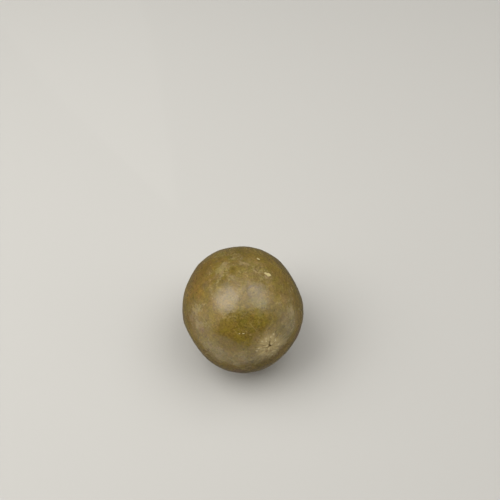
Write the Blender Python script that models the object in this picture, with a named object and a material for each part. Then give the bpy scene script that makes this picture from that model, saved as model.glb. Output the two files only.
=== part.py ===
"""A whole dried monk fruit lying on its side, as one closed solid.

The fruit is drawn in its own frame first: its axis runs from the stem end to the blossom end, which
points along +Z there, and every bump and hollow is a height added along the line from the middle.
It is then laid on its side with the blossom end looking a little up, and the rind settles on a small
flat spot. World frame: metres, +Z up, the origin on the resting spot straight under the fruit's middle,
-Y toward the blossom end, +Y toward the stem end.
"""

import math

import bmesh
import bpy
import numpy as np
from mathutils import Matrix

NAME = "monk_fruit"

# The body: an ovoid a little longer than wide, slightly square in the shoulders.
LENGTH = 0.0584
DIAMETER = 0.0545
FULLNESS = 2.1

# How it lies: the blossom end looks up by this angle, and the middle of the fruit is this high.
AXIS_TILT = math.radians(22.7)
MIDDLE_HEIGHT = 0.0265
SETTLE_SOFTNESS = 0.00015

# The mesh: rings are drawn closer together toward both ends, where the fine forms are.
SEGMENTS = 72
RINGS = 60
END_FINENESS = 0.8

# Cheeks that dried flatter than the rest: turn about the axis and angle from the blossom end
# in degrees, half width in degrees, depth in metres.
CHEEKS = (
    (16, 79, 29, 0.00116),
    (144, 116, 28, 0.00096),
    (193, 93, 25, 0.00105),
    (308, 47, 29, 0.00132),
    (250, 150, 24, 0.00050),
    (20, 155, 22, 0.00045),
)

# Slow swells left by uneven drying: how the wave runs across the fruit, its phase and its height.
SWELLS = (
    ((3.1, -2.2, 1.6), 0.4, 0.00011),
    ((-1.9, 3.6, 2.7), 2.1, 0.00009),
    ((2.4, 1.5, -4.3), 4.0, 0.00008),
    ((5.2, 3.3, 1.1), 1.2, 0.00005),
    ((-3.0, 4.4, -4.1), 5.3, 0.00005),
)

# Faint ribs along the veins that run from end to end.
RIBS = 12
RIB_HEIGHT = 0.00014
RIB_SHARPNESS = 3
RIB_SWAY, RIB_SWAY_PHASE = 0.5, 0.8
RIB_BEND = 0.3

# Blossom end: a corky disc, pleated round its edge and a little dished, with a three-armed split in
# the middle (turn in degrees and length of each arm) and knobs round it (turn, reach and height).
DISC_RADIUS = 0.0048
DISC_WAVES = ((3, 0.10, 1.0), (5, 0.06, 0.0))
DISC_EDGE_STEEPNESS = 6
DISC_HEIGHT = 0.00018
DISH_RADIUS = 0.0024
DISH_DEPTH = 0.00014
PLEATS = 13
PLEAT_SWAY, PLEAT_SWAY_PHASE = 1.3, 0.7
PLEAT_HEIGHT = 0.00006
PLEAT_REACH = 0.0034
PLEAT_WIDTH = 0.0020
SPLIT_ARMS = ((80, 0.0024), (199, 0.0015), (317, 0.0009))
SPLIT_DEPTH = 0.00075
SPLIT_WIDTH = 0.00030
SPLIT_FADE = 0.00015
KNOBS = (
    (39, 0.0012, 0.00022),
    (152, 0.0013, 0.00022),
    (246, 0.0014, 0.00022),
    (33, 0.0036, 0.00011),
    (174, 0.0040, 0.00012),
    (108, 0.0033, 0.00008),
    (282, 0.0036, 0.00009),
    (350, 0.0029, 0.00008),
    (222, 0.0038, 0.00008),
)
KNOB_WIDTH = 0.00060

# Stem end: an oval socket with a raised lip, and the broken pith of the stalk standing in it.
SOCKET_RADIUS = 0.0014
SOCKET_DEPTH = 0.00110
SOCKET_WALL_STEEPNESS = 8
SOCKET_OVAL = 0.18
SOCKET_TURN = math.radians(25)
LIP_RADIUS = 0.0020
LIP_HEIGHT = 0.00032
LIP_WIDTH = 0.00045
PITH_RADIUS = 0.00075
PITH_HEIGHT = 0.00075
PITH_STEEPNESS = 6
PITH_LOBES, PITH_LOBE_SHARE, PITH_LOBE_PHASE = 3, 0.25, 0.5
SHOULDER_PLEATS = 9
SHOULDER_SWAY, SHOULDER_SWAY_PHASE = 1.1, 2.0
SHOULDER_HEIGHT = 0.00009
SHOULDER_REACH = 0.0040
SHOULDER_WIDTH = 0.0022

RIND_COLOUR = (0.200, 0.145, 0.050, 1.0)
RIND_ROUGHNESS = 0.42


def bell(distance, width):
    """A smooth hump of height 1 that has faded out about two widths away."""
    return np.exp(-((distance / width) ** 2))


def plateau(distance, radius, steepness):
    """1 inside the radius and 0 outside it, with a rounded edge."""
    return 1 / (1 + (distance / radius) ** steepness)


def toward(turn_degrees, angle_degrees):
    """The unit direction at a turn about the axis and an angle from the blossom end."""
    turn, angle = math.radians(turn_degrees), math.radians(angle_degrees)
    across = math.sin(angle)
    return np.array((across * math.cos(turn), across * math.sin(turn), math.cos(angle)))


def ovoid(directions):
    """Distance from the middle to the plain body in each direction."""
    across = np.hypot(directions[:, 0], directions[:, 1]) / (DIAMETER / 2)
    along = np.abs(directions[:, 2]) / (LENGTH / 2)
    return (across**FULLNESS + along**FULLNESS) ** (-1 / FULLNESS)


def cheeks(directions):
    """Depth of the flattened cheeks."""
    depth = np.zeros(len(directions))
    for turn, angle, width, amount in CHEEKS:
        apart = np.degrees(np.arccos(np.clip(directions @ toward(turn, angle), -1, 1)))
        depth += amount * bell(apart, width)
    return depth


def swells(directions):
    """Height of the slow waves of the dried rind."""
    height = np.zeros(len(directions))
    for run, phase, amount in SWELLS:
        height += amount * np.sin(directions @ np.array(run) + phase)
    return height


def ribs(turn, angle):
    """Height of the faint ribs, which fade out toward both ends."""
    wander = RIB_SWAY * np.sin(2 * turn + RIB_SWAY_PHASE) + RIB_BEND * np.sin(3 * angle)
    crest = (0.5 + 0.5 * np.cos(RIBS * turn + wander)) ** RIB_SHARPNESS
    return RIB_HEIGHT * crest * np.sin(angle) ** 2


def blossom_end(reach, turn):
    """Height of the corky disc, its dish, pleats, split and knobs; reach is measured from the end."""
    waves = sum(share * np.cos(count * turn + phase) for count, share, phase in DISC_WAVES)
    height = DISC_HEIGHT * plateau(reach, DISC_RADIUS * (1 + waves), DISC_EDGE_STEEPNESS)
    height -= DISH_DEPTH * bell(reach, DISH_RADIUS)
    fold = np.cos(PLEATS * turn + PLEAT_SWAY * np.sin(2 * turn + PLEAT_SWAY_PHASE))
    height += PLEAT_HEIGHT * fold * bell(reach - PLEAT_REACH, PLEAT_WIDTH)
    for arm, length in SPLIT_ARMS:
        off = turn - math.radians(arm)
        along, across = reach * np.cos(off), reach * np.sin(off)
        ahead = 1 / (1 + np.exp(-(along + SPLIT_WIDTH) / SPLIT_FADE))
        ends = 1 / (1 + np.exp((along - length) / SPLIT_FADE))
        height -= SPLIT_DEPTH * bell(across, SPLIT_WIDTH) * ahead * ends
    for side, out, rise in KNOBS:
        off = turn - math.radians(side)
        apart = np.hypot(reach * np.cos(off) - out, reach * np.sin(off))
        height += rise * bell(apart, KNOB_WIDTH)
    return height


def stem_end(reach, turn):
    """Height of the stalk's socket, its lip, the pith in it and the pleats of the shoulder."""
    oval = reach * (1 + SOCKET_OVAL * np.cos(2 * (turn - SOCKET_TURN)))
    height = LIP_HEIGHT * bell(oval - LIP_RADIUS, LIP_WIDTH)
    height -= SOCKET_DEPTH * plateau(oval, SOCKET_RADIUS, SOCKET_WALL_STEEPNESS)
    lobes = 1 + PITH_LOBE_SHARE * np.cos(PITH_LOBES * turn + PITH_LOBE_PHASE)
    height += PITH_HEIGHT * plateau(oval, PITH_RADIUS, PITH_STEEPNESS) * lobes
    fold = np.cos(SHOULDER_PLEATS * turn + SHOULDER_SWAY * np.sin(turn + SHOULDER_SWAY_PHASE))
    return height + SHOULDER_HEIGHT * fold * bell(reach - SHOULDER_REACH, SHOULDER_WIDTH)


def rind(directions):
    """Points of the rind in the fruit's own frame."""
    turn = np.arctan2(directions[:, 1], directions[:, 0])
    angle = np.arccos(np.clip(directions[:, 2], -1, 1))
    radius = ovoid(directions) - cheeks(directions) + swells(directions) + ribs(turn, angle)
    radius += blossom_end(angle * LENGTH / 2, turn)
    radius += stem_end((math.pi - angle) * LENGTH / 2, turn)
    return directions * radius[:, None]


def closer_at_ends(directions):
    """Slides the sphere's even rings toward both ends."""
    turn = np.arctan2(directions[:, 1], directions[:, 0])
    angle = np.arccos(np.clip(directions[:, 2], -1, 1))
    angle = angle - END_FINENESS / 2 * np.sin(2 * angle)
    across = np.sin(angle)
    return np.column_stack((across * np.cos(turn), across * np.sin(turn), np.cos(angle)))


def laid_down(points):
    """Tips the fruit onto its side and lifts its middle to the height it rests at."""
    tip = np.array(Matrix.Rotation(math.pi / 2 - AXIS_TILT, 3, "X"))
    return points @ tip.T + np.array((0.0, 0.0, MIDDLE_HEIGHT))


def settled(points):
    """Presses what would sink below the surface flat onto it, with a soft turn at the spot's edge."""
    height = points[:, 2]
    soft = SETTLE_SOFTNESS
    turning = (height + soft) ** 2 / (4 * soft)
    pressed = np.where(height < -soft, 0.0, np.where(height < soft, turning, height))
    return np.column_stack((points[:, 0], points[:, 1], pressed))


def make_fruit():
    """The fruit's mesh: a sphere of even rings whose points are moved to the rind."""
    sphere = bmesh.new()
    bmesh.ops.create_uvsphere(sphere, u_segments=SEGMENTS, v_segments=RINGS, radius=1.0)
    directions = np.array([vertex.co.normalized()[:] for vertex in sphere.verts])
    points = settled(laid_down(rind(closer_at_ends(directions))))
    for vertex, point in zip(sphere.verts, points):
        vertex.co = point
    mesh = bpy.data.meshes.new(NAME)
    sphere.to_mesh(mesh)
    sphere.free()
    mesh.shade_smooth()
    return mesh


def make_rind_material():
    """The satin, olive brown rind."""
    material = bpy.data.materials.new("rind")
    material.use_nodes = True
    shader = material.node_tree.nodes["Principled BSDF"]
    shader.inputs["Base Color"].default_value = RIND_COLOUR
    shader.inputs["Roughness"].default_value = RIND_ROUGHNESS
    shader.inputs["Metallic"].default_value = 0.0
    return material


def main():
    for old in list(bpy.data.objects):
        bpy.data.objects.remove(old, do_unlink=True)
    collection = bpy.data.collections.new(NAME)
    bpy.context.scene.collection.children.link(collection)
    fruit = bpy.data.objects.new(NAME, make_fruit())
    fruit.data.materials.append(make_rind_material())
    collection.objects.link(fruit)


main()
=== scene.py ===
# %% [markdown]
# # A dried monk fruit, finished by code
# The fruit is a dried gourd: a thin, hard, satin shell, nearly round, with a corky scar where the
# flower was and a small socket where the stalk was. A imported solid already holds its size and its
# resting place. This lesson opens that solid as a fixed frame and grows a fine skin exactly where it
# lies, so the solid keeps its job in the physics and the skin takes over the looks.

# %% Open the fixed frame
import math

import bpy
import numpy as np
from mathutils import Matrix, Vector


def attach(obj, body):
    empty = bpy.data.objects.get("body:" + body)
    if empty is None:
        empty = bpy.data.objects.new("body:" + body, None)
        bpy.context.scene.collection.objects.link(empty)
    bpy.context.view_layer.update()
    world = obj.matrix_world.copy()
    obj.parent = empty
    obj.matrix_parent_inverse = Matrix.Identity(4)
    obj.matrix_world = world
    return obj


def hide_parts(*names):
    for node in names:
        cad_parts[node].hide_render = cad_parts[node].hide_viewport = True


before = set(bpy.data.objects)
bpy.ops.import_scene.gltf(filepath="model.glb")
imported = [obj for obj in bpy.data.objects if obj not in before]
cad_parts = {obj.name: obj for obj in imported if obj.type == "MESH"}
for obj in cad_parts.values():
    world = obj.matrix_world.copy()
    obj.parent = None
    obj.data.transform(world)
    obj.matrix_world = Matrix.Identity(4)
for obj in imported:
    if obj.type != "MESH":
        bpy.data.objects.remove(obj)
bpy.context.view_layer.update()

# %% [markdown]
# ## The fruit's own frame
# Every form on the fruit is easiest to say in the fruit's own terms: a turn about its axis and an angle
# from its blossom end. So the skin is drawn upright, blossom end up, and laid on its side at the end.
# The body's sizes are the ones the solid was made from, so the two surfaces lie on each other.

# %% Sizes of the body and how it lies
LENGTH = 0.0584
DIAMETER = 0.0545
FULLNESS = 2.1
AXIS_TILT = math.radians(22.7)
MIDDLE_HEIGHT = 0.0265
SETTLE_SOFTNESS = 0.00015
RADIUS = DIAMETER / 2

tip = np.array(Matrix.Rotation(math.pi / 2 - AXIS_TILT, 3, "X"))
own_x, own_y, blossom_way = (Vector(tip[:, column]) for column in range(3))
print("the blossom end looks along", [round(v, 3) for v in blossom_way])


# %% Humps, plateaus and directions
def bell(distance, width):
    """A smooth hump of height 1 that has faded out about two widths away."""
    return np.exp(-((distance / width) ** 2))


def plateau(distance, radius, steepness):
    """1 inside the radius and 0 outside it, with a rounded edge."""
    return 1 / (1 + (distance / radius) ** steepness)


def toward(turn_degrees, angle_degrees):
    """The unit direction at a turn about the axis and an angle from the blossom end."""
    turn, angle = math.radians(turn_degrees), math.radians(angle_degrees)
    across = math.sin(angle)
    return np.array((across * math.cos(turn), across * math.sin(turn), math.cos(angle)))


# %% [markdown]
# ## The body
# A dried fruit is never a true ball. It could be sculpted by hand, but a formula is easier to change
# and to repeat: an ovoid with square shoulders, a few broad cheeks that dried flatter, slow swells,
# and faint ribs over the veins that run from end to end.

# %% The ovoid, its cheeks and its swells
# Each cheek: turn, angle and half width in degrees, and depth.
CHEEKS = (
    (16, 79, 29, 0.00116),
    (144, 116, 28, 0.00096),
    (193, 93, 25, 0.00105),
    (308, 47, 29, 0.00132),
    (250, 150, 24, 0.00050),
    (20, 155, 22, 0.00045),
)
# Each swell: how its wave runs across the fruit, its phase and its height.
SWELLS = (
    ((3.1, -2.2, 1.6), 0.4, 0.00011),
    ((-1.9, 3.6, 2.7), 2.1, 0.00009),
    ((2.4, 1.5, -4.3), 4.0, 0.00008),
    ((5.2, 3.3, 1.1), 1.2, 0.00005),
    ((-3.0, 4.4, -4.1), 5.3, 0.00005),
)


def ovoid(directions):
    """Distance from the middle to the plain body in each direction."""
    across = np.hypot(directions[:, 0], directions[:, 1]) / RADIUS
    along = np.abs(directions[:, 2]) / (LENGTH / 2)
    return (across**FULLNESS + along**FULLNESS) ** (-1 / FULLNESS)


def cheeks(directions):
    """Depth of the flattened cheeks."""
    depth = np.zeros(len(directions))
    for turn, angle, width, amount in CHEEKS:
        apart = np.degrees(np.arccos(np.clip(directions @ toward(turn, angle), -1, 1)))
        depth += amount * bell(apart, width)
    return depth


def swells(directions):
    """Height of the slow waves of the dried shell."""
    height = np.zeros(len(directions))
    for run, phase, amount in SWELLS:
        height += amount * np.sin(directions @ np.array(run) + phase)
    return height


# %% The faint ribs
RIBS = 12
RIB_HEIGHT = 0.00014
RIB_SHARPNESS = 3
RIB_SWAY, RIB_SWAY_PHASE = 0.5, 0.8
RIB_BEND = 0.3


def ribs(turn, angle):
    """Height of the ribs, which fade out toward both ends."""
    wander = RIB_SWAY * np.sin(2 * turn + RIB_SWAY_PHASE) + RIB_BEND * np.sin(3 * angle)
    crest = (0.5 + 0.5 * np.cos(RIBS * turn + wander)) ** RIB_SHARPNESS
    return RIB_HEIGHT * crest * np.sin(angle) ** 2


# %% [markdown]
# ## The two ends
# Where the flower dropped off, the shell healed into a pale corky disc with pleats round its edge, a
# three-armed split and small knobs round it. At the other end the stalk broke off and left an oval
# socket with a raised lip and dry pith standing in it. Both are heights added to the body, so the skin
# stays one closed surface with no seams. The split is a little shallower here than in the solid and
# the pith a little fuller, because a fine mesh shows much more of both.

# %% The blossom end
DISC_RADIUS = 0.0048
DISC_WAVES = ((3, 0.10, 1.0), (5, 0.06, 0.0))
DISC_EDGE_STEEPNESS = 6
DISC_HEIGHT = 0.00018
DISH_RADIUS = 0.0024
DISH_DEPTH = 0.00014
PLEATS = 13
PLEAT_SWAY, PLEAT_SWAY_PHASE = 1.3, 0.7
PLEAT_HEIGHT = 0.00006
PLEAT_REACH = 0.0034
PLEAT_WIDTH = 0.0020
# Each arm of the split: turn in degrees, length, and share of the full depth.
SPLIT_ARMS = ((80, 0.0024, 0.60), (199, 0.0015, 0.95), (317, 0.0009, 0.80))
SPLIT_DEPTH = 0.00075
SPLIT_WIDTH = 0.00030
SPLIT_FADE = 0.00015
# Each knob: turn in degrees, distance from the end, and height.
KNOBS = (
    (39, 0.0012, 0.00022),
    (152, 0.0013, 0.00022),
    (246, 0.0014, 0.00022),
    (33, 0.0036, 0.00011),
    (174, 0.0040, 0.00012),
    (108, 0.0033, 0.00008),
    (282, 0.0036, 0.00009),
    (350, 0.0029, 0.00008),
    (222, 0.0038, 0.00008),
)
KNOB_WIDTH = 0.00060


def disc_edge(turn):
    """Distance from the end to the waved edge of the disc."""
    waves = sum(share * np.cos(count * turn + phase) for count, share, phase in DISC_WAVES)
    return DISC_RADIUS * (1 + waves)


def off_spot(reach, turn, side, out):
    """Distance from a spot that lies a given way out from the end, on a given side."""
    off = turn - math.radians(side)
    return np.hypot(reach * np.cos(off) - out, reach * np.sin(off))


def split(reach, turn):
    """How deep in the split each point is, from 0 to about 1."""
    deep = np.zeros(len(turn))
    for arm, length, share in SPLIT_ARMS:
        off = turn - math.radians(arm)
        along, across = reach * np.cos(off), reach * np.sin(off)
        ahead = 1 / (1 + np.exp(-(along + SPLIT_WIDTH) / SPLIT_FADE))
        ends = 1 / (1 + np.exp((along - length) / SPLIT_FADE))
        deep += share * bell(across, SPLIT_WIDTH) * ahead * ends
    return deep


def blossom_end(reach, turn):
    """Height of the disc, its dish, pleats, split and knobs; reach is measured from the end."""
    height = DISC_HEIGHT * plateau(reach, disc_edge(turn), DISC_EDGE_STEEPNESS)
    height -= DISH_DEPTH * bell(reach, DISH_RADIUS)
    fold = np.cos(PLEATS * turn + PLEAT_SWAY * np.sin(2 * turn + PLEAT_SWAY_PHASE))
    height += PLEAT_HEIGHT * fold * bell(reach - PLEAT_REACH, PLEAT_WIDTH)
    height -= SPLIT_DEPTH * split(reach, turn)
    for side, out, rise in KNOBS:
        height += rise * bell(off_spot(reach, turn, side, out), KNOB_WIDTH)
    return height


# %% The stem end
SOCKET_RADIUS = 0.0014
SOCKET_DEPTH = 0.00110
SOCKET_WALL_STEEPNESS = 8
SOCKET_OVAL = 0.18
SOCKET_TURN = math.radians(25)
LIP_RADIUS = 0.0020
LIP_HEIGHT = 0.00032
LIP_WIDTH = 0.00045
PITH_RADIUS = 0.00105
PITH_HEIGHT = 0.00085
PITH_SIDE, PITH_OUT = 265, 0.00020
PITH_STEEPNESS = 8
PITH_LOBES, PITH_LOBE_SHARE, PITH_LOBE_PHASE = 3, 0.25, 0.5
SHOULDER_PLEATS = 9
SHOULDER_SWAY, SHOULDER_SWAY_PHASE = 1.1, 2.0
SHOULDER_HEIGHT = 0.00009
SHOULDER_REACH = 0.0040
SHOULDER_WIDTH = 0.0022


def socket_oval(reach, turn):
    """Distance from the end, stretched so that an oval round the socket counts as a circle."""
    return reach * (1 + SOCKET_OVAL * np.cos(2 * (turn - SOCKET_TURN)))


def pith_cover(reach, turn):
    """1 on the pith, which leans to one side and leaves a crescent of the socket open."""
    apart = off_spot(socket_oval(reach, turn), turn, PITH_SIDE, PITH_OUT)
    return plateau(apart, PITH_RADIUS, PITH_STEEPNESS)


def stem_end(reach, turn):
    """Height of the lip, the socket, the pith in it and the pleats of the shoulder."""
    oval = socket_oval(reach, turn)
    height = LIP_HEIGHT * bell(oval - LIP_RADIUS, LIP_WIDTH)
    height -= SOCKET_DEPTH * plateau(oval, SOCKET_RADIUS, SOCKET_WALL_STEEPNESS)
    lobes = 1 + PITH_LOBE_SHARE * np.cos(PITH_LOBES * turn + PITH_LOBE_PHASE)
    height += PITH_HEIGHT * pith_cover(reach, turn) * lobes
    fold = np.cos(SHOULDER_PLEATS * turn + SHOULDER_SWAY * np.sin(turn + SHOULDER_SWAY_PHASE))
    return height + SHOULDER_HEIGHT * fold * bell(reach - SHOULDER_REACH, SHOULDER_WIDTH)


# %% [markdown]
# ## Fine relief
# The solid stops at the main forms. The skin adds what a fingertip would feel: shallow dimples where
# the shell drew in, wrinkles that gather toward the ends, small pocks and warts, rays round the scar
# and grit on the cork. Blender's own noise would need a slow Python loop over every point. Adding up
# crossing waves gives the same kind of roughness, and numpy works on all the points at once.

# %% Roughness made of crossing waves
WAVES = 40


def ripples(points, size, seed):
    """Smooth roughness, usually within 1 of zero, with crests about the given size apart."""
    chance = np.random.default_rng(seed)
    ways = chance.normal(size=(WAVES, 3))
    ways *= (chance.uniform(0.7, 1.3, WAVES) * math.tau / size / np.linalg.norm(ways, axis=1))[:, None]
    phases = chance.uniform(0, math.tau, WAVES)
    return sum(np.sin(points @ way + phase) for way, phase in zip(ways, phases)) / math.sqrt(WAVES)


def rays(turn, low, high, seed):
    """Uneven rays round an end, usually within 1 of zero, that close up with no seam."""
    chance = np.random.default_rng(seed)
    counts = np.arange(low, high)
    heights = chance.normal(size=len(counts))
    phases = chance.uniform(0, math.tau, len(counts))
    total = sum(h * np.cos(count * turn + p) for h, count, p in zip(heights, counts, phases))
    return total / math.sqrt(np.sum(heights**2))


# %% Rays and knots round the scar
RAY_HEIGHT = 0.00005
RAY_REACH, RAY_WIDTH = 0.0038, 0.0030
RAY_COUNTS = (9, 40)
# Each bend of the rays: size of the swing, length of its wave, and how it changes round the end.
RAY_BENDS = ((0.05, 0.0013, 0), (0.04, 0.0006, 3))
CORK_RADIUS_SHARE, CORK_RAGGEDNESS = 1.05, 0.08
CORK_EDGE_COUNTS, CORK_EDGE_STEEPNESS = (4, 40), 8
CORK_LEAN, CORK_LEAN_SIDE = 0.20, math.radians(310)
# Each small knob: turn in degrees, distance from the end, and height.
SMALL_KNOBS = (
    (126, 0.0047, 0.00007),
    (180, 0.0057, 0.00010),
    (168, 0.0049, 0.00009),
    (190, 0.0028, 0.00009),
    (24, 0.0032, 0.00008),
    (101, 0.0045, 0.00006),
    (72, 0.0044, 0.00006),
    (301, 0.0045, 0.00008),
    (219, 0.0051, 0.00007),
    (254, 0.0049, 0.00007),
    (340, 0.0043, 0.00007),
    (60, 0.0055, 0.00005),
    (275, 0.0058, 0.00006),
)
SMALL_KNOB_WIDTH = 0.00042


def scar_rays(reach, turn):
    """Rays that bend a little on their way out."""
    bent = turn
    for swing, length, twist in RAY_BENDS:
        bent = bent + swing * np.sin(reach / length + twist * turn)
    return rays(bent, *RAY_COUNTS, seed=3)


def cork_cover(reach, turn):
    """1 on the corky disc and 0 off it, with a soft ragged edge."""
    uneven = 1 + CORK_RAGGEDNESS * rays(turn, *CORK_EDGE_COUNTS, seed=8)
    ragged = disc_edge(turn) * CORK_RADIUS_SHARE * uneven
    lean = 1 + CORK_LEAN * np.maximum(np.cos(turn - CORK_LEAN_SIDE), 0)
    return plateau(reach, ragged * lean, CORK_EDGE_STEEPNESS)


def scar_relief(reach, turn):
    """Height of the rays and of the small knobs."""
    height = RAY_HEIGHT * scar_rays(reach, turn) * bell(reach - RAY_REACH, RAY_WIDTH)
    for side, out, rise in SMALL_KNOBS:
        height += rise * bell(off_spot(reach, turn, side, out), SMALL_KNOB_WIDTH)
    return height


# %% Pocks, warts and one round dent
POCKS, WARTS = 150, 90
POCK_SIZES, POCK_DEPTHS = (0.0006, 0.0019), (0.000008, 0.000045)
WART_SIZES, WART_HEIGHTS = (0.0005, 0.0011), (0.000008, 0.000030)
# The round dent: turn and angle of its middle in degrees, its radius and its depth.
ROUND_DENT = (87, 49.5, 0.0023, 0.00006)
DENT_STEEPNESS = 5
DENT_LIP_WIDTH, DENT_LIP_SHARE = 0.0006, 0.5


def apart_from(directions, place):
    """Straight distance from one place to each direction, on a ball of the fruit's size."""
    return RADIUS * np.sqrt(np.maximum(2 - 2 * directions @ place, 0))


def scattered(directions, count, sizes, amounts, seed):
    """Many small round humps, each at a random place with a random size and height."""
    chance = np.random.default_rng(seed)
    places = chance.normal(size=(count, 3))
    places /= np.linalg.norm(places, axis=1)[:, None]
    height = np.zeros(len(directions))
    for place in places:
        size, amount = chance.uniform(*sizes), chance.uniform(*amounts)
        height += amount * bell(apart_from(directions, place), size)
    return height


def round_dent(directions):
    """Height of the dent and of the low lip round it."""
    turn, angle, radius, depth = ROUND_DENT
    apart = apart_from(directions, toward(turn, angle))
    lip = DENT_LIP_SHARE * bell(apart - radius, DENT_LIP_WIDTH)
    return depth * (lip - plateau(apart, radius, DENT_STEEPNESS))


# %% The relief itself
DIMPLE_SIZE, DIMPLE_HEIGHT = 0.0085, 0.000045
PUCKER_SIZE, PUCKER_HEIGHT = 0.0040, 0.000014
WRINKLE_SIZE, WRINKLE_HEIGHT = 0.0017, 0.000005
WRINKLE_DRAW = np.array((1.0, 1.0, 0.4))
END_WRINKLES = 2.0
NEAR_BLOSSOM, NEAR_STEM, NEAR_STEEPNESS = 0.011, 0.010, 4
GRIT_SIZE, GRIT_HEIGHT = 0.0006, 0.000022
LIP_EDGE_STEEPNESS = 8


def fine_relief(directions, turn, angle):
    """Everything that is finer than the solid; wrinkles are drawn out along the axis."""
    points = directions * RADIUS
    reach, stem_reach = angle * LENGTH / 2, (math.pi - angle) * LENGTH / 2
    near_ends = plateau(reach, NEAR_BLOSSOM, NEAR_STEEPNESS)
    near_ends += plateau(stem_reach, NEAR_STEM, NEAR_STEEPNESS)
    height = DIMPLE_HEIGHT * ripples(points, DIMPLE_SIZE, seed=1)
    height += PUCKER_HEIGHT * (1 + near_ends) * ripples(points, PUCKER_SIZE, seed=2)
    wrinkles = ripples(points * WRINKLE_DRAW, WRINKLE_SIZE, seed=5)
    height += WRINKLE_HEIGHT * (1 + END_WRINKLES * near_ends) * wrinkles
    height -= scattered(directions, POCKS, POCK_SIZES, POCK_DEPTHS, seed=11)
    height += scattered(directions, WARTS, WART_SIZES, WART_HEIGHTS, seed=12)
    height += round_dent(directions) + scar_relief(reach, turn)
    gritty = cork_cover(reach, turn) + plateau(stem_reach, LIP_RADIUS + LIP_WIDTH, LIP_EDGE_STEEPNESS)
    return height + GRIT_HEIGHT * gritty * ripples(points, GRIT_SIZE, seed=9)


# %% [markdown]
# ## The skin mesh
# A ball of even rings is bent onto the formula. Its rings crowd toward both ends, where the fine forms
# are. Then it is laid on its side, and what would sink into the table is pressed flat, as on the solid.

# %% Bend a ball onto the rind
SKIN_SEGMENTS = 360
SKIN_RINGS = 270
END_FINENESS = 0.6


def ball_directions():
    """Directions from the middle, ring by ring, with a single point at each end."""
    turns = np.arange(SKIN_SEGMENTS) * math.tau / SKIN_SEGMENTS
    angles = np.arange(1, SKIN_RINGS) * math.pi / SKIN_RINGS
    angles = angles - END_FINENESS / 2 * np.sin(2 * angles)
    turn, angle = (grid.ravel() for grid in np.meshgrid(turns, angles))
    across = np.sin(angle)
    rings = np.column_stack((across * np.cos(turn), across * np.sin(turn), np.cos(angle)))
    return np.vstack((rings, (0.0, 0.0, 1.0), (0.0, 0.0, -1.0)))


def ball_faces():
    """Four-cornered faces between the rings, and a fan of triangles at each end."""
    first_end = SKIN_SEGMENTS * (SKIN_RINGS - 1)
    last_ring = first_end - SKIN_SEGMENTS
    here = np.arange(SKIN_SEGMENTS)
    after = (here + 1) % SKIN_SEGMENTS
    faces = [
        (ring + a, ring + SKIN_SEGMENTS + a, ring + SKIN_SEGMENTS + b, ring + b)
        for ring in range(0, last_ring, SKIN_SEGMENTS)
        for a, b in zip(here.tolist(), after.tolist())
    ]
    faces += [(first_end, a, b) for a, b in zip(here.tolist(), after.tolist())]
    faces += [(first_end + 1, last_ring + b, last_ring + a) for a, b in zip(here.tolist(), after.tolist())]
    return faces


def turn_and_angle(directions):
    """Turn about the axis and angle from the blossom end, in radians."""
    turn = np.arctan2(directions[:, 1], directions[:, 0])
    return turn, np.arccos(np.clip(directions[:, 2], -1, 1))


def rind(directions):
    """Points of the skin in the fruit's own frame."""
    turn, angle = turn_and_angle(directions)
    radius = ovoid(directions) - cheeks(directions) + swells(directions) + ribs(turn, angle)
    radius += blossom_end(angle * LENGTH / 2, turn)
    radius += stem_end((math.pi - angle) * LENGTH / 2, turn)
    radius += fine_relief(directions, turn, angle)
    return directions * radius[:, None]


def laid_down(points):
    """Tips the fruit onto its side and lifts its middle to the height it rests at."""
    return points @ tip.T + np.array((0.0, 0.0, MIDDLE_HEIGHT))


def settled(points):
    """Presses what would sink into the table flat onto it, with a soft turn at the edge."""
    height = points[:, 2]
    soft = SETTLE_SOFTNESS
    turning = (height + soft) ** 2 / (4 * soft)
    pressed = np.where(height < -soft, 0.0, np.where(height < soft, turning, height))
    return np.column_stack((points[:, 0], points[:, 1], pressed))


# %% [markdown]
# ## Masks that come from the same formulas
# The colours of the two ends must follow their relief ray for ray. The formulas are known here for
# every point of the mesh, so they are written onto it as named numbers, and the finish reads them back.
# Away from the ends the mesh is too coarse for that, and the finish makes its own marks.

# %% Streaks, stains and clefts of both ends
# Each stain of the scar: turn in degrees, distance from the end, width and strength.
STAINS = (
    (155, 0.0032, 0.00062, 1.0),
    (317, 0.0070, 0.00100, 1.0),
    (227, 0.0026, 0.00075, 1.0),
    (274, 0.0027, 0.00060, 1.0),
    (294, 0.0090, 0.00150, 0.7),
    (273, 0.0082, 0.00120, 0.5),
    (352, 0.0029, 0.00055, 0.8),
    (305, 0.0112, 0.00140, 0.5),
    (95, 0.0075, 0.00050, 0.5),
    (128, 0.0080, 0.00045, 0.5),
    (30, 0.0060, 0.00045, 0.4),
)
KNOB_TOP_WIDTH = 0.00042
RAY_MASK_LIMIT, RAY_MASK_SHARE = 1.2, 0.42
SHORT_STREAK_COUNTS, SHORT_STREAK_SHARE = (3, 18), 0.75
SHORT_STREAK_REACH, SHORT_STREAK_WIDTH = 0.0030, 0.0040
LONG_STREAK_SIDE = math.radians(205)
LONG_STREAK_WIDTH, LONG_STREAK_LENGTH = 0.001575, 0.018
LONG_STREAK_START_STEEPNESS, LONG_STREAK_END_STEEPNESS = 8, 6
LIP_MASK_OUT, LIP_MASK_SPREAD = 1.05, 1.2


def scar_stains(reach, turn):
    """How stained the scar is at each point."""
    stained = np.zeros(len(turn))
    for side, out, width, strength in STAINS:
        stained = np.maximum(stained, strength * bell(off_spot(reach, turn, side, out), width))
    return stained


def knob_tops(reach, turn):
    """1 on the tops of the knobs round the scar, which are painted pale: pale cork and partly a painted
    highlight.
    """
    tops = np.zeros(len(turn))
    for side, out, rise in KNOBS + SMALL_KNOBS:
        tops = np.maximum(tops, bell(off_spot(reach, turn, side, out), KNOB_TOP_WIDTH))
    return tops


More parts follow.
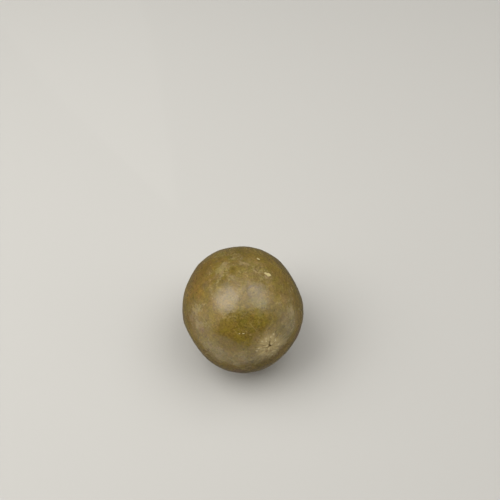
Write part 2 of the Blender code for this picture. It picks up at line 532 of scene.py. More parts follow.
def shoulder_streaks(stem_reach, turn):
    """Pale rubbed streaks that run from the socket, one of them much longer than the rest."""
    short = np.clip(rays(turn, *SHORT_STREAK_COUNTS, seed=21), 0, 2)
    short *= bell(stem_reach - SHORT_STREAK_REACH, SHORT_STREAK_WIDTH)
    off = (turn - LONG_STREAK_SIDE + math.pi) % math.tau - math.pi
    long = bell(off * stem_reach, LONG_STREAK_WIDTH)
    long *= 1 - plateau(stem_reach, LIP_RADIUS, LONG_STREAK_START_STEEPNESS)
    long *= plateau(stem_reach, LONG_STREAK_LENGTH, LONG_STREAK_END_STEEPNESS)
    return np.clip(SHORT_STREAK_SHARE * short + long, 0, 1)


def end_masks(directions):
    """The named masks of both ends, each from 0 to 1."""
    turn, angle = turn_and_angle(directions)
    reach, stem_reach = angle * LENGTH / 2, (math.pi - angle) * LENGTH / 2
    oval = socket_oval(stem_reach, turn)
    pith = pith_cover(stem_reach, turn)
    return {
        "cork": cork_cover(reach, turn),
        "ray": 0.5 + RAY_MASK_SHARE * np.clip(scar_rays(reach, turn), -RAY_MASK_LIMIT, RAY_MASK_LIMIT),
        "stain": scar_stains(reach, turn),
        "knob": knob_tops(reach, turn),
        "cleft": np.clip(split(reach, turn), 0, 1),
        "gap": plateau(oval, SOCKET_RADIUS, SOCKET_WALL_STEEPNESS) * (1 - pith),
        "pith": pith,
        "lip": bell(oval - LIP_RADIUS * LIP_MASK_OUT, LIP_WIDTH * LIP_MASK_SPREAD),
        "streak": shoulder_streaks(stem_reach, turn),
    }


# %% Grow the skin
def grow_skin():
    directions = ball_directions()
    mesh = bpy.data.meshes.new("monk_fruit_skin")
    mesh.from_pydata(settled(laid_down(rind(directions))).tolist(), [], ball_faces())
    for name, values in end_masks(directions).items():
        mesh.attributes.new(name, "FLOAT", "POINT").data.foreach_set("value", values)
    mesh.update()
    mesh.shade_smooth()
    return mesh


skin = bpy.data.objects.new("monk_fruit_skin", grow_skin())
bpy.context.scene.collection.objects.link(skin)
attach(skin, "root")
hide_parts("monk_fruit")
print("the skin has", sum(len(face.vertices) - 2 for face in skin.data.polygons), "triangles")

# %% [markdown]
# ## Writing shader maths as sums
# A finish is a web of nodes, and a web of maths nodes is hard to read. Wrapping each node's output in
# a small class that knows plus, minus and times lets a finish be written as the sum it is. Colours and
# directions keep to their own nodes, because a maths node would turn a colour grey.

# %% The wrapped output
class Wire:
    """One output of a node. Arithmetic on it adds Math nodes."""

    def __init__(self, finish, socket):
        self.finish = finish
        self.socket = socket

    def maths(self, operation, *others):
        """This number through a Math node, with any others after it."""
        return self.finish.node("Math", {"operation": operation}, dict(enumerate((self, *others))))

    def __add__(self, other):
        return self.maths("ADD", other)

    def __sub__(self, other):
        return self.maths("SUBTRACT", other)

    def __rsub__(self, other):
        return self.finish.node("Math", {"operation": "SUBTRACT"}, {0: other, 1: self})

    def __mul__(self, other):
        return self.maths("MULTIPLY", other)

    def __truediv__(self, other):
        return self.maths("DIVIDE", other)

    def __pow__(self, other):
        return self.maths("POWER", other)

    def __abs__(self):
        return self.maths("ABSOLUTE")

    def __or__(self, other):
        """The larger of the two: one mask or the other."""
        return self.maths("MAXIMUM", other)

    __radd__ = __add__
    __rmul__ = __mul__


# %% The finish and its one way to add a node
class Finish:
    """A material, or the room's light, that is built one node at a time."""

    def __init__(self, holder):
        holder.use_nodes = True
        self.tree = holder.node_tree
        self.tree.nodes.clear()

    def node(self, kind, settings, values, output=0):
        """Adds a node, makes its settings, then fills its sockets with numbers or wires."""
        made = self.tree.nodes.new("ShaderNode" + kind)
        for name, setting in settings.items():
            setattr(made, name, setting)
        for name, value in values.items():
            if isinstance(value, Wire):
                self.tree.links.new(value.socket, made.inputs[name])
            else:
                made.inputs[name].default_value = value
        return Wire(self, made.outputs[output]) if made.outputs else None

    def between(self, value, low, high, at_low=0.0, at_high=1.0):
        """Eases from at_low to at_high while the value goes from low to high."""
        sockets = {0: value, 1: low, 2: high, 3: at_low, 4: at_high}
        return self.node("MapRange", {"interpolation_type": "SMOOTHSTEP"}, sockets)

    def mixed(self, share, first, second, blend="MIX"):
        """A colour that goes from the first to the second as the share goes from 0 to 1."""
        settings = {"data_type": "RGBA", "blend_type": blend}
        return self.node("Mix", settings, {0: share, 6: first, 7: second}, output=2)

    def scaled(self, value, amount):
        """A colour or a direction times a number."""
        return self.node("VectorMath", {"operation": "SCALE"}, {0: value, "Scale": amount})

    def vector(self, operation, *values, output=0):
        """Vector Math, whose answer is a direction or, by the output called Value, a number."""
        return self.node("VectorMath", {"operation": operation}, dict(enumerate(values)), output)

    def dot(self, first, second):
        """The dot product of two directions."""
        return self.vector("DOT_PRODUCT", first, second, output="Value")

    def written(self, name):
        """A number that was written onto the mesh."""
        settings = {"attribute_name": name, "attribute_type": "GEOMETRY"}
        return self.node("Attribute", settings, {}, output="Fac")

    def cloud(self, place, size, detail=2.0, roughness=0.5, distortion=0.0):
        """Soft noise from 0 to 1 whose features are about the given size, in metres."""
        values = {"Vector": place, "Scale": 1 / size, "Detail": detail}
        values.update({"Roughness": roughness, "Distortion": distortion})
        return self.node("TexNoise", {}, values)

    def grains(self, place, size):
        """Distance to the nearest of many scattered grains, in grain sizes."""
        values = {"Vector": place, "Scale": 1 / size}
        return self.node("TexVoronoi", {"feature": "F1"}, values, "Distance")


# %% [markdown]
# ## The rind's finish
# On the real fruit the shell is golden olive and satin, marbled and speckled, ochre where the sun
# reached it, with a grey bloom of dust and worn fuzz. A single colour looks like plastic. The layers
# here follow the real ones: shell colour, zones, bloom, marbling, veins, specks, then the corky ends,
# and last the scuffs and chips. Some also carry painted light and shade: a painted sheen in the bloom,
# painted light and shade in some spot tints, painted shade in the split and the socket's gap, and a
# partly painted highlight on the knob tops. Each is read from the place on the fruit, so it needs no
# unwrapping.

# %% Where each point of the rind is
rind_material = bpy.data.materials.new("rind")
finish = Finish(rind_material)
place = finish.node("TexCoord", {}, {}, output="Object")
from_middle = finish.vector("SUBTRACT", place, (0.0, 0.0, MIDDLE_HEIGHT))
way = finish.vector("NORMALIZE", from_middle)
along = finish.dot(way, blossom_way)
across_x = finish.dot(way, own_x)
across_y = finish.dot(way, own_y)
angle = along.maths("ARCCOSINE")
turn = across_y.maths("ARCTAN2", across_x)
belly = angle.maths("SINE")


def world_way(turn_degrees, angle_degrees):
    """A direction in the fruit's own terms, as it lies on the table."""
    return Vector(tip @ toward(turn_degrees, angle_degrees))


def near(turn_degrees, angle_degrees, width_degrees):
    """1 at a place on the fruit, fading to 0 about a width away."""
    close = finish.dot(way, world_way(turn_degrees, angle_degrees))
    full, none = math.cos(math.radians(width_degrees * 0.25)), math.cos(math.radians(width_degrees))
    return finish.between(close, none, full)


# %% Shell colour and its zones
OLIVE = (0.134, 0.092, 0.015, 1.0)
GOLD = (0.163, 0.110, 0.020, 1.0)
OCHRE = (0.160, 0.092, 0.018, 1.0)
GREEN = (0.112, 0.091, 0.016, 1.0)
RUSSET = (0.120, 0.060, 0.020, 1.0)
UMBER = (0.098, 0.066, 0.010, 1.0)
# Each zone: turn, angle and reach in degrees.
OCHRE_ZONES = ((126, 97, 30), (338, 112, 34), (236, 64, 22), (60, 150, 26), (284, 158, 24))
GREEN_ZONES = ((98, 30, 20), (96, 96, 30), (14, 18, 16), (190, 128, 34), (292, 84, 26))
RUSSET_ZONES = ((339, 38, 9), (229, 44, 12), (126, 104, 8), (40, 118, 9), (262, 116, 12), (158, 62, 5))
UMBER_ZONES = ((124, 112, 24), (86, 108, 26), (300, 130, 26), (222, 92, 20))

drift = finish.cloud(place, 0.013, detail=2.0, roughness=0.5, distortion=0.3)
patchy = finish.cloud(place, 0.0038, detail=3.0, roughness=0.6, distortion=0.8)
broken = finish.between(patchy, 0.34, 0.62)
shell = finish.mixed(finish.between(drift, 0.40, 0.62), OLIVE, GOLD)


def zones(places):
    """One mask for several places, broken up by the small clouds."""
    mask = near(*places[0])
    for spot in places[1:]:
        mask = mask | near(*spot)
    return mask * broken


ZONE_TINTS = (
    (OCHRE_ZONES, 0.75, OCHRE),
    (GREEN_ZONES, 0.65, GREEN),
    (RUSSET_ZONES, 0.80, RUSSET),
    (UMBER_ZONES, 0.75, UMBER),
)
for places, share, colour in ZONE_TINTS:
    shell = finish.mixed(zones(places) * share, shell, colour)
print("the shell has", sum(len(places) for places, _, _ in ZONE_TINTS), "tinted zones")

# %% Bloom of dust and worn fuzz, with a painted sheen and spot tints of painted light and shade
BLOOM_AND_SHEEN = (0.200, 0.155, 0.064, 1.0)
# The zone at 182, 50 is partly real bloom and partly a painted sheen, where the shell would mirror pale
# surroundings.
BLOOM_AND_SHEEN_ZONES = (
    (98, 80, 28),
    (70, 67, 14),
    (152, 70, 20),
    (94, 100, 16),
    (182, 50, 22),
    (28, 37, 21),
    (205, 28, 18),
)
BACK_BLOOM_ZONES = ((260, 100, 30), (70, 128, 24), (330, 150, 26), (180, 140, 24))
RUST = (0.105, 0.058, 0.008, 1.0)
# Each spot tint: turn, angle and reach in degrees, its share and its colour. The tints even out the
# shell spot by spot, and several are painted light and shade: the bloom at 184, 48 is a painted sheen,
# the rust at 158, 79 is painted shade on a rim that mirrors too much light, the umber at 114, 17 is a
# painted dark reflection beside the scar, and the gold at 221, 30 is painted light on the low rim.
SPOT_TINTS_AND_PAINTED_LIGHT = (
    (78, 70, 18, 0.37, BLOOM_AND_SHEEN),
    (58, 55, 11, 0.20, BLOOM_AND_SHEEN),
    (184, 48, 14, 0.55, BLOOM_AND_SHEEN),
    (44, 46, 10, 0.18, BLOOM_AND_SHEEN),
    (120, 108, 20, 0.50, RUST),
    (104, 100, 10, 0.25, RUST),
    (76, 106, 20, 0.30, UMBER),
    (158, 79, 11, 0.50, RUST),
    (163, 35, 11, 0.45, UMBER),
    (114, 17, 11, 0.36, UMBER),
    (63, 27, 9, 0.20, UMBER),
    (221, 30, 10, 0.35, GOLD),
)
THIN_BLOOM, THICK_BLOOM = 0.35, 0.70
bloom_cloud = finish.cloud(place, 0.0052, detail=4.0, roughness=0.62, distortion=0.5)
# The mask holds the bloom of dust and, in the zone at 182, 50, a painted sheen.
bloom_and_sheen = finish.between(bloom_cloud, 0.50, 0.72) * THIN_BLOOM
bloom_and_sheen_zones = zones(BLOOM_AND_SHEEN_ZONES) | zones(BACK_BLOOM_ZONES)
bloom_and_sheen = bloom_and_sheen + bloom_and_sheen_zones * finish.between(bloom_cloud, 0.34, 0.58) * THICK_BLOOM
shell = finish.mixed(bloom_and_sheen, shell, BLOOM_AND_SHEEN)
for turn_there, angle_there, width_there, share, colour in SPOT_TINTS_AND_PAINTED_LIGHT:
    shell = finish.mixed(near(turn_there, angle_there, width_there) * share, shell, colour)

# %% The round dent's darker ring
MAUVE = (0.105, 0.075, 0.034, 1.0)
MAUVE_PATCH = (122.5, 81.5, 5.5)
DENT_TURN, DENT_ANGLE, DENT_RADIUS, _ = ROUND_DENT
DENT_BLOOM_REACH = 5.5
RING_WANDER, RING_FULL, RING_NONE = 0.0016, 0.0001, 0.0007
DENT_BLOOM_STRENGTH, RING_STRENGTH, MAUVE_STRENGTH = 0.35, 0.85, 0.50
ALMOST_ONE = 0.999999
dent_cosine = finish.dot(way, world_way(DENT_TURN, DENT_ANGLE))
dent_angle = dent_cosine.maths("MINIMUM", ALMOST_ONE).maths("ARCCOSINE")
dent_ring = abs(dent_angle * RADIUS + (patchy - 0.5) * RING_WANDER - DENT_RADIUS)
dent_ring = finish.between(dent_ring, RING_FULL, RING_NONE, 1.0, 0.0)
shell = finish.mixed(near(DENT_TURN, DENT_ANGLE, DENT_BLOOM_REACH) * DENT_BLOOM_STRENGTH, shell, BLOOM_AND_SHEEN)
shell = finish.mixed(dent_ring * (0.3 + broken * 0.7) * RING_STRENGTH, shell, MAUVE)
shell = finish.mixed(near(*MAUVE_PATCH) * MAUVE_STRENGTH, shell, MAUVE)

# %% [markdown]
# ## Marbling, veins and specks
# Close up the shell is marbled with thin crooked lines, paler and darker than the ground, where the
# skin stretched and the fuzz wore off. Thin lines come from noise by keeping only the places where it
# passes its middle value. Specks come from scattered grains, kept only where another noise is high.

# %% Marbling
ASIDE = (0.031, 0.017, 0.023)
STREAK_STRETCH = 0.82
PATCH_LIGHT, MOTTLE_LIGHT, SPECKLE_LIGHT, STREAK_LIGHT = 0.26, 0.72, 1.55, 0.60
PALE_LINE_LIGHT, DARK_LINE_SHADE = 0.14, 0.15
pale_marble = finish.cloud(place, 0.0044, detail=3.0, roughness=0.55, distortion=1.4)
elsewhere = finish.vector("ADD", place, ASIDE)
dark_marble = finish.cloud(elsewhere, 0.0034, detail=3.0, roughness=0.6, distortion=1.6)
pale_lines = finish.between(abs(pale_marble - 0.5), 0.004, 0.030, 1.0, 0.0)
dark_lines = finish.between(abs(dark_marble - 0.5), 0.004, 0.034, 1.0, 0.0)
mottle = finish.cloud(place, 0.0017, detail=3.0, roughness=0.6, distortion=0.4)
speckle = finish.cloud(place, 0.00068, detail=2.0, roughness=0.65)
from_belly = finish.dot(from_middle, blossom_way)
shortened = finish.scaled(blossom_way, from_belly * -STREAK_STRETCH)
squeezed = finish.vector("ADD", place, shortened)
streaky = finish.cloud(squeezed, 0.0013, detail=2.0, roughness=0.6)
light = 1 + (patchy - 0.5) * PATCH_LIGHT + (mottle - 0.5) * MOTTLE_LIGHT
light = light + (speckle - 0.5) * SPECKLE_LIGHT + (streaky - 0.5) * STREAK_LIGHT
light = light + pale_lines * broken * PALE_LINE_LIGHT - dark_lines * DARK_LINE_SHADE
shell = finish.scaled(shell, light)

# %% Drift between greener and pinker
GREENER = (0.975, 1.015, 0.88, 1.0)
PINKER = (1.025, 0.985, 1.18, 1.0)
pinkness = finish.cloud(elsewhere, 0.0030, detail=2.0, roughness=0.5, distortion=0.6)
tint = finish.mixed(finish.between(pinkness, 0.36, 0.64), GREENER, PINKER)
shell = finish.mixed(1.0, shell, tint, "MULTIPLY")

# %% Veins along the ribs
VEIN_WANDER, VEIN_STRENGTH, VALLEY_SHADE = 1.6, 0.30, 0.05
sway = (turn * 2 + RIB_SWAY_PHASE).maths("SINE") * RIB_SWAY
bend = (angle * 3).maths("SINE") * RIB_BEND
rib_turn = turn * RIBS + sway + bend + (drift - 0.5) * VEIN_WANDER
rib_wave = rib_turn.maths("COSINE")
vein = finish.between(rib_wave, 0.80, 0.99) * belly * belly * broken
shell = finish.mixed(vein * VEIN_STRENGTH, shell, GREEN)
valley = finish.between(rib_wave, -0.6, -0.98) * belly * belly
shell = finish.scaled(shell, 1 - valley * VALLEY_SHADE)

# %% Pores and flecks
FLECK = (0.260, 0.200, 0.085, 1.0)
PORE = (0.060, 0.040, 0.012, 1.0)
PORE_SPACING, PORE_STRENGTH = 0.0011, 0.32
FLECK_SPACING, FLECK_STRENGTH = 0.0023, 0.70
pore_grain = finish.grains(place, PORE_SPACING)
fleck_grain = finish.grains(place, FLECK_SPACING)
pores = finish.between(pore_grain, 0.07, 0.17, 1.0, 0.0) * finish.between(mottle, 0.50, 0.60)
flecks = finish.between(fleck_grain, 0.04, 0.11, 1.0, 0.0) * finish.between(patchy, 0.46, 0.56)
shell = finish.mixed(pores * PORE_STRENGTH, shell, PORE)
shell = finish.mixed(flecks * FLECK_STRENGTH, shell, FLECK)

# %% [markdown]
# ## The corky ends
# The scar is dry and pale, like thin cork, with brown stains and a split, and its rays run a few
# millimetres out over the shell. The stalk's socket is a gap round straw-coloured pith inside a
# pale lip. The split and the gap are painted dark as well as sunk: painted shade in the recesses.
# The masks were written onto the mesh, so colour and relief agree.

# %% The scar's colours
CORK = (0.345, 0.275, 0.125, 1.0)
CORK_SHADE = (0.215, 0.155, 0.060, 1.0)
# The knob tops' colour is pale cork and partly a painted highlight.
KNOB_TOP = (0.500, 0.420, 0.240, 1.0)
STAIN = (0.130, 0.078, 0.026, 1.0)
# Painted shade for the split and the socket's gap, on top of the shade their depth casts.
PAINTED_CREVICE_SHADE = (0.150, 0.094, 0.024, 1.0)
HALO_FULL, HALO_NONE, HALO_STRENGTH = 0.0045, 0.0100, 0.20
DARK_HALO_FULL, DARK_HALO_NONE, DARK_HALO_STRENGTH = 0.0040, 0.0085, 0.25
CORK_STRENGTH, KNOB_STRENGTH, STAIN_STRENGTH, CLEFT_STRENGTH = 0.88, 0.70, 0.85, 0.80
CORK_PALENESS, RAY_PALENESS, GRAIN_PALENESS = 0.16, 0.40, 0.62
cork, ray = finish.written("cork"), finish.written("ray")
knob = finish.written("knob")
stain, cleft = finish.written("stain"), finish.written("cleft")
reach = angle * (LENGTH / 2)
cork_grain = finish.cloud(place, 0.0007, detail=3.0, roughness=0.65)
paleness = CORK_PALENESS + ray * RAY_PALENESS + cork_grain * GRAIN_PALENESS
cork_colour = finish.mixed(paleness, CORK_SHADE, CORK)
halo = finish.between(reach, HALO_FULL, HALO_NONE, 1.0, 0.0)
halo = halo * finish.between(ray, 0.45, 0.85)
dark_halo = finish.between(reach, DARK_HALO_FULL, DARK_HALO_NONE, 1.0, 0.0)
dark_halo = dark_halo * finish.between(ray, 0.45, 0.15)
shell = finish.mixed(halo * HALO_STRENGTH, shell, CORK)
shell = finish.mixed(dark_halo * DARK_HALO_STRENGTH, shell, CORK_SHADE)
shell = finish.mixed(cork * CORK_STRENGTH, shell, cork_colour)
# The knob tops are painted pale: pale cork and partly a painted highlight.
knob = knob * finish.between(cork_grain, 0.22, 0.50)
shell = finish.mixed(knob * KNOB_STRENGTH, shell, KNOB_TOP)
stain = stain * finish.between(cork_grain, 0.30, 0.60)
shell = finish.mixed(stain * STAIN_STRENGTH, shell, STAIN)
# Painted shade darkens the split.
shell = finish.mixed(cleft * CLEFT_STRENGTH, shell, PAINTED_CREVICE_SHADE)

# %% The socket's colours
PITH = (0.620, 0.500, 0.200, 1.0)
LIP = (0.270, 0.200, 0.085, 1.0)
STREAK_STRENGTH, LIP_STRENGTH, PITH_STRENGTH, GAP_STRENGTH = 0.60, 0.75, 0.95, 0.85
gap, pith = finish.written("gap"), finish.written("pith")
lip, streak = finish.written("lip"), finish.written("streak")
streak = streak * finish.between(patchy, 0.30, 0.55)
shell = finish.mixed(streak * STREAK_STRENGTH, shell, LIP)
shell = finish.mixed(lip * LIP_STRENGTH, shell, LIP)
pith_colour = finish.mixed(cork_grain, CORK_SHADE, PITH)
shell = finish.mixed(pith * PITH_STRENGTH, shell, pith_colour)
# Painted shade darkens the gap round the pith.
shell = finish.mixed(gap * GAP_STRENGTH, shell, PAINTED_CREVICE_SHADE)

# %% [markdown]
# ## Scuffs and chips
# A few chips show the straw-coloured layer under the skin, some in dots, and thin scratches cross the
# shell. A chip is an oval, or two that overlap, with its edge broken by noise. A scratch is part of a
# great circle: points whose direction is almost square to one fixed direction, between two ends.

# %% Chips
CHIP = (0.385, 0.325, 0.150, 1.0)
CHIP_EDGE = (0.085, 0.055, 0.018, 1.0)
CHIP_RAGGEDNESS, CHIP_BREAKUP, CHIP_EDGE_STRENGTH = 1.0, 0.9, 0.55
CHIP_DARKEST, CHIP_GRAIN = 0.55, 0.9
# Each chip: the turn and angle of its middle and of a place that its long side points toward, in
# degrees, then half its length and half its width. The first two ovals make one notched chip.
CHIPS = (
    (64.3, 62.3, 67.0, 64.6, 0.00114, 0.00102),
    (66.5, 63.6, 69.7, 64.8, 0.00094, 0.00066),
    (66.6, 83.1, 67.6, 85.0, 0.00094, 0.00053),
    (138.0, 28.8, 137.0, 27.9, 0.00034, 0.00024),
    (134.2, 26.1, 133.0, 25.3, 0.00052, 0.00020),
    (300.0, 97.0, 304.0, 99.0, 0.00100, 0.00045),
    (214.0, 122.0, 216.0, 119.0, 0.00070, 0.00040),
    (22.0, 128.0, 24.0, 130.0, 0.00120, 0.00050),
    (248.0, 70.0, 249.0, 73.0, 0.00045, 0.00028),
)
chip_noise = finish.cloud(place, 0.0006, detail=3.0, roughness=0.6)


def oval_distance(turn_a, angle_a, turn_b, angle_b, half_length, half_width):
    """Distance from an oval's middle, 1 at its edge. Its long side points toward the second place."""
    centre, ahead = world_way(turn_a, angle_a), world_way(turn_b, angle_b)
    long_way = (ahead - ahead.dot(centre) * centre).normalized()
    side_way = centre.cross(long_way)
    lengths = finish.dot(way, long_way) * (RADIUS / half_length)
    widths = finish.dot(way, side_way) * (RADIUS / half_width)
    facing = finish.dot(way, centre)
    behind = finish.between(facing, 0.5, 0.6, 99.0, 0.0)
    return (lengths * lengths + widths * widths) ** 0.5 + behind


chip_distance = oval_distance(*CHIPS[0])
for chip in CHIPS[1:]:
    chip_distance = chip_distance.maths("MINIMUM", oval_distance(*chip))
chip_distance = chip_distance + (chip_noise - 0.5) * CHIP_RAGGEDNESS + (mottle - 0.5) * CHIP_BREAKUP
chips = finish.between(chip_distance, 0.76, 1.00, 1.0, 0.0)
chip_rims = finish.between(abs(chip_distance - 1.25), 0.05, 0.40, 1.0, 0.0)
chip_rims = chip_rims * finish.between(patchy, 0.40, 0.55)
shell = finish.mixed(chip_rims * CHIP_EDGE_STRENGTH, shell, CHIP_EDGE)
chip_colour = finish.scaled(CHIP[:3], CHIP_DARKEST + chip_noise * CHIP_GRAIN)
shell = finish.mixed(chips, shell, chip_colour)
print("the shell has", len(CHIPS) - 1, "chips")

# %% Scratches
SCRATCH = (0.235, 0.175, 0.070, 1.0)
SCRATCH_WANDER, SCRATCH_STRENGTH = 0.02, 0.55
# Each scratch: the turn and angle of its two ends in degrees, then half its width.
SCRATCHES = (
    (145.9, 66.8, 150.9, 50.2, 0.00013),
    (118.4, 36.3, 108.6, 35.7, 0.00009),
    (112.4, 29.1, 113.0, 17.3, 0.00009),
    (136.8, 34.5, 141.2, 28.6, 0.00008),
    (128.0, 44.0, 117.0, 38.0, 0.00008),
    (44.0, 70.0, 52.0, 46.0, 0.00010),
    (280.0, 80.0, 300.0, 118.0, 0.00011),
    (230.0, 96.0, 205.0, 108.0, 0.00010),
    (350.0, 120.0, 12.0, 96.0, 0.00010),
)


def scratch_line(turn_a, angle_a, turn_b, angle_b, half_width):
    """1 on the scratch, fading out at its sides and its ends."""
    start, end = world_way(turn_a, angle_a), world_way(turn_b, angle_b)
    middle_way, square = (start + end).normalized(), start.cross(end).normalized()
    side = finish.dot(way, square)
    side = abs(side + (patchy - 0.5) * SCRATCH_WANDER)
    close = finish.dot(way, middle_way)
    inside = finish.between(close, middle_way.dot(start), middle_way.dot(start) * 0.7 + 0.3)
    return finish.between(side, half_width * 0.4 / RADIUS, half_width * 2 / RADIUS, 1.0, 0.0) * inside


scratches = scratch_line(*SCRATCHES[0])
for line in SCRATCHES[1:]:
    scratches = scratches | scratch_line(*line)
scratches = scratches * finish.between(mottle, 0.36, 0.52)
shell = finish.mixed(scratches * SCRATCH_STRENGTH, shell, SCRATCH)

# %% [markdown]
# ## Sheen and touch
# The shell is satin where it is clean, duller under its bloom, dry on the cork and in the chips. The
# smallest relief is finer than the mesh can hold, so it goes into a bump, with its heights in metres:
# grain, pores, wrinkled skin, the edges of the chips and the grit of the cork.

# %% Roughness
SATIN, DRY, CHIPPED = 0.22, 0.68, 0.80
MOTTLE_DULLNESS, BLOOM_DULLNESS, STREAK_DULLNESS = 0.16, 0.12, 0.14
dry = cork | lip | pith
roughness = SATIN + (mottle - 0.5) * MOTTLE_DULLNESS + bloom_and_sheen * BLOOM_DULLNESS
roughness = roughness + (streaky - 0.5) * STREAK_DULLNESS
roughness = finish.node("Mix", {"data_type": "FLOAT"}, {0: dry, 2: roughness, 3: DRY})
roughness = finish.node("Mix", {"data_type": "FLOAT"}, {0: chips, 2: roughness, 3: CHIPPED})

# %% Bump
GRAIN_RISE, FINE_SKIN_RISE, STREAK_RISE = 0.000018, 0.000056, 0.000020
PORE_DEPTH, FLECK_RISE, LINE_DEPTH = 0.000025, 0.000008, 0.000006
CHIP_DEPTH, CHIP_ROUGHNESS_RISE, SCRATCH_DEPTH, GRIT_RISE = 0.000090, 0.000070, 0.000010, 0.000060
skin_grain = finish.cloud(place, 0.00040, detail=2.0, roughness=0.55)
fine_skin = finish.cloud(place, 0.0012, detail=3.0, roughness=0.6, distortion=0.5)
grit = finish.cloud(place, 0.00035, detail=3.0, roughness=0.65)
height = skin_grain * GRAIN_RISE + fine_skin * FINE_SKIN_RISE + streaky * STREAK_RISE
height = height - pores * PORE_DEPTH + flecks * FLECK_RISE - dark_lines * LINE_DEPTH
height = height - chips * CHIP_DEPTH + chips * chip_noise * CHIP_ROUGHNESS_RISE
height = height - scratches * SCRATCH_DEPTH + dry * grit * GRIT_RISE
bumped = finish.node("Bump", {}, {"Strength": 1.0, "Distance": 1.0, "Height": height})

# %% Join the finish to the shader
rind_looks = {"Base Color": shell, "Roughness": roughness, "Normal": bumped}
surface = finish.node("BsdfPrincipled", {}, rind_looks)
finish.node("OutputMaterial", {}, {"Surface": surface})
skin.data.materials.append(rind_material)
print("the rind's finish has", len(finish.tree.nodes), "nodes")

# %% [markdown]
# ## The room
# The fruit lies on a plain pale table under soft boxes, one high on each side, in a pale room. A satin
# shell shows what stands round it: a dark doorway behind the camera gives the deeper olive patch low on
# its front, and the dim back of the room keeps its far edge rich. Cards and curtains would do, but they
# would also throw shadows on the table, so the room's brightness is written as a sum of directions. The
# table stays out of the shell's mirror images and its shade, because white all round would wash it out.
# A lamp under the table's far side stands in for the light that the table throws on the fruit's back.
# Far off, the table is painted paler and glows a little in the light's colour: painted light, so no hard
# edge shows behind the fruit.

# %% Camera
# The view of the photograph: angles in degrees, the lens as a share of the sensor's width, and how far
# the fruit's middle lies right of, below and before the lens.
VIEW_TURN = -25.4
OPTICAL_ELEVATION = 54.7
LENS_SHARE, SENSOR_WIDTH = 1.3, 36.0
RIGHT_OF_LENS, BELOW_LENS, BEFORE_LENS = -0.00341, 0.02634, 0.292
camera_turn = Matrix.Rotation(math.radians(VIEW_TURN), 3, "Z")
elevation = math.radians(OPTICAL_ELEVATION)
forward = camera_turn @ Vector((0.0, math.cos(elevation), -math.sin(elevation)))
right = camera_turn @ Vector((1.0, 0.0, 0.0))
down = forward.cross(right)
middle = Vector((0.0, 0.0, MIDDLE_HEIGHT))

camera = bpy.data.objects.new("camera", bpy.data.cameras.new("camera"))
bpy.context.scene.collection.objects.link(camera)
camera.data.sensor_width = SENSOR_WIDTH
camera.data.lens = SENSOR_WIDTH * LENS_SHARE
camera.location = middle - RIGHT_OF_LENS * right - BELOW_LENS * down - BEFORE_LENS * forward
camera.rotation_euler = forward.to_track_quat("-Z", "Y").to_euler()
camera.data.clip_start = 0.01
bpy.context.scene.camera = camera
print("the camera stands at", [round(v, 3) for v in camera.location])

# %% Table
# The far part of the table is painted paler and glows a little: painted light that keeps the floor even.
TABLE_NEAR = (0.44, 0.44, 0.435, 1.0)
TABLE_FAR_PAINTED_LIGHT = (0.88, 0.88, 0.875, 1.0)
TABLE_PAINTED_GLOW_STRENGTH = 0.17
TABLE_NEAR_REACH, TABLE_FAR_REACH = 0.50, 1.70
TABLE_SIZE, TABLE_DROP = 40.0, 0.0002
BLACK = (0.0, 0.0, 0.0, 1.0)
LIGHT_COLOUR = (1.0, 0.97, 0.91, 1.0)
table_material = bpy.data.materials.new("table")
table_finish = Finish(table_material)
table_place = table_finish.node("TexCoord", {}, {}, output="Object")
table_reach = table_finish.vector("LENGTH", table_place, output="Value")
table_far = table_finish.between(table_reach, TABLE_NEAR_REACH, TABLE_FAR_REACH)
table_colour = table_finish.mixed(table_far, TABLE_NEAR, TABLE_FAR_PAINTED_LIGHT)
# Painted glow on the far part of the table.
table_painted_glow = table_finish.mixed(table_far, BLACK, LIGHT_COLOUR)
table_looks = {"Base Color": table_colour, "Specular IOR Level": 0.0}
table_looks.update({"Emission Color": table_painted_glow, "Emission Strength": TABLE_PAINTED_GLOW_STRENGTH})
table_surface = table_finish.node("BsdfPrincipled", {}, table_looks)
table_finish.node("OutputMaterial", {}, {"Surface": table_surface})
bpy.ops.mesh.primitive_plane_add(size=TABLE_SIZE, location=(0.0, 0.0, -TABLE_DROP))
table = bpy.context.object
table.name = "table"
table.data.materials.append(table_material)
table.visible_glossy = table.visible_diffuse = table.visible_shadow = False

# %% Soft boxes overhead
BOX_HEIGHT = 0.60
# Each box: its place to the right and to the back, its width and its depth, all as shares of its
# height, then its swing in degrees and its brightness.
SOFT_BOXES = (
    ("left_box", -0.68, -0.14, 1.10, 0.66, 45.0, 4.6),
    ("left_scrim", -1.05, 0.05, 1.50, 1.20, 0.0, 1.6),
    ("right_box", 0.50, 0.12, 0.70, 0.85, 0.0, 2.75),
    ("ceiling", -0.10, 0.10, 2.20, 1.20, 0.0, 1.0),
)


def hang_box(name, right_share, back_share, width_share, depth_share, swing, brightness):
    """A soft box that faces straight down."""
    lamp = bpy.data.lights.new(name, "AREA")
    lamp.shape = "RECTANGLE"
    lamp.color = LIGHT_COLOUR[:3]
    lamp.size, lamp.size_y = width_share * BOX_HEIGHT, depth_share * BOX_HEIGHT
    lamp.energy = brightness * math.pi * lamp.size * lamp.size_y
    holder = bpy.data.objects.new(name, lamp)
    bpy.context.scene.collection.objects.link(holder)
    offset = Vector((right_share, back_share, 1.0)) * BOX_HEIGHT
    holder.location = middle + camera_turn @ offset
    holder.rotation_euler = (0.0, 0.0, math.radians(VIEW_TURN + swing))
    holder.visible_camera = False
    return holder


for box in SOFT_BOXES:
    hang_box(*box)

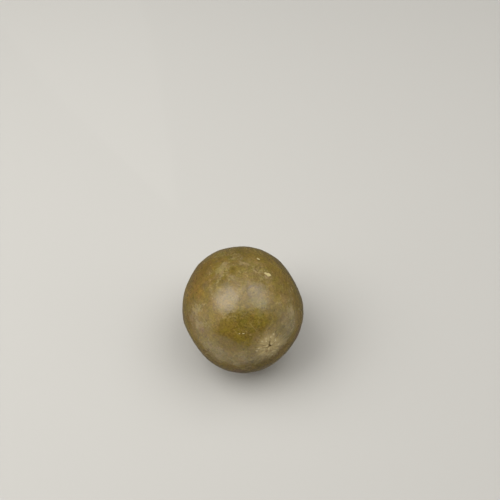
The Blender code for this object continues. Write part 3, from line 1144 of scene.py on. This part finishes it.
# %% The table's glow on the far side
GLOW_ANGLE, GLOW_DISTANCE, GLOW_BRIGHTNESS = math.radians(42), 0.50, 0.95
glow_way = Vector((0.0, math.cos(GLOW_ANGLE), -math.sin(GLOW_ANGLE)))
glow = hang_box("table_glow", 0.0, 0.0, 1.0, 1.0, 0.0, GLOW_BRIGHTNESS)
glow.location = middle + glow_way * GLOW_DISTANCE
glow.rotation_euler = (-glow_way).to_track_quat("-Z", "Y").to_euler()
glow.visible_glossy = False

# %% Pale room
FRONT_STRENGTH, BACK_STRENGTH, SEEN_STRENGTH = 0.98, 0.13, 0.55
BELOW_TILT, BELOW_NONE, BELOW_FULL = 0.35, -0.72, -0.42
SIDE_NONE, SIDE_FULL = -0.50, 0.10
room = bpy.data.worlds.new("room")
room_light = Finish(room)
looking = room_light.node("TexCoord", {}, {}, output="Generated")
front_way = camera_turn @ Vector((0.0, -1.0, 0.0))
frontness = room_light.dot(looking, front_way)
rightness = room_light.dot(looking, right)
upness = room_light.dot(looking, (0.0, 0.0, 1.0))
# Nothing comes from straight below, where the fruit would stand in its own light.
clear_of_fruit = room_light.between(upness + frontness * BELOW_TILT, BELOW_NONE, BELOW_FULL)
open_side = room_light.between(frontness, SIDE_NONE, SIDE_FULL) * clear_of_fruit

# %% The dark doorway
DOOR_LEFT, DOOR_RIGHT, DOOR_TOP = -1.28, 1.88, 2.0
DOOR_SOFTNESS, SILL_SLOPE, SILL_NONE, SILL_FULL = 0.1, 0.44, -0.14, -0.04
JUST_AHEAD = 0.001
ahead = frontness.maths("MAXIMUM", JUST_AHEAD)
sideways, upward = rightness / ahead, upness / ahead
sill = sideways.maths("MAXIMUM", 0.0) * SILL_SLOPE
doorway = room_light.between(sideways, DOOR_LEFT - DOOR_SOFTNESS, DOOR_LEFT)
doorway = doorway * room_light.between(sideways, DOOR_RIGHT, DOOR_RIGHT + DOOR_SOFTNESS, 1.0, 0.0)
doorway = doorway * room_light.between(upward - sill, SILL_NONE, SILL_FULL)
doorway = doorway * room_light.between(upward, DOOR_TOP, DOOR_TOP + DOOR_SOFTNESS, 1.0, 0.0)
doorway = doorway * room_light.between(frontness, 0.0, 0.02)
room_strength = BACK_STRENGTH + open_side * (FRONT_STRENGTH - BACK_STRENGTH)
room_strength = room_strength * (1 - doorway)
seen = room_light.node("LightPath", {}, {}, output="Is Camera Ray")
room_strength = seen * SEEN_STRENGTH + (1 - seen) * room_strength
room_surface = room_light.node("Background", {}, {"Color": LIGHT_COLOUR, "Strength": room_strength})
room_light.node("OutputWorld", {}, {"Surface": room_surface})
bpy.context.scene.world = room
bpy.context.scene.view_settings.view_transform = "Standard"
